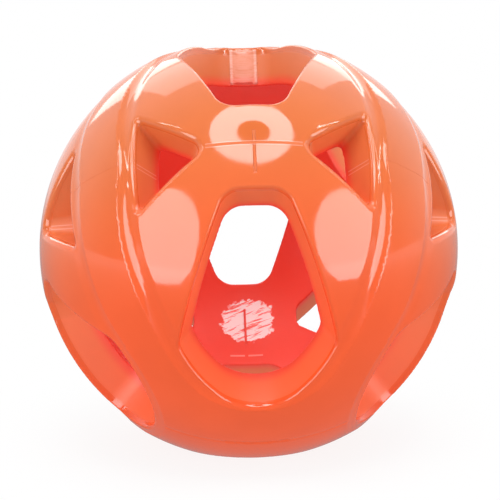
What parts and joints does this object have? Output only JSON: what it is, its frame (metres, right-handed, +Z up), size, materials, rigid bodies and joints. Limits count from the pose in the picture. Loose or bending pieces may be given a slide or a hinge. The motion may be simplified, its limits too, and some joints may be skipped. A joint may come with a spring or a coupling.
{
  "type": "treat dispensing ball",
  "caption": "Hollow rubber ball with bell shaped and triangular windows in its thick wall and raised ring bands; treats go in and fall out through the windows.",
  "frame": {"origin": "centre of the ball", "axes": "+Z up as the ball stands on the round rim of its lower rear window, -Y towards the front panel, whose centre is 39 degrees above the horizon, +X to the right"},
  "size_m": [0.089, 0.085, 0.083],
  "materials": {
    "shell_rubber": "glossy, slightly translucent orange moulded rubber",
    "seam_rubber": "glossy orange rubber bond layer, slightly darker"
  },
  "bodies": {
    "root": {"lower_half_shell": "shell_rubber", "upper_half_shell": "shell_rubber", "bond_seam": "seam_rubber"}
  },
  "joints": []
}
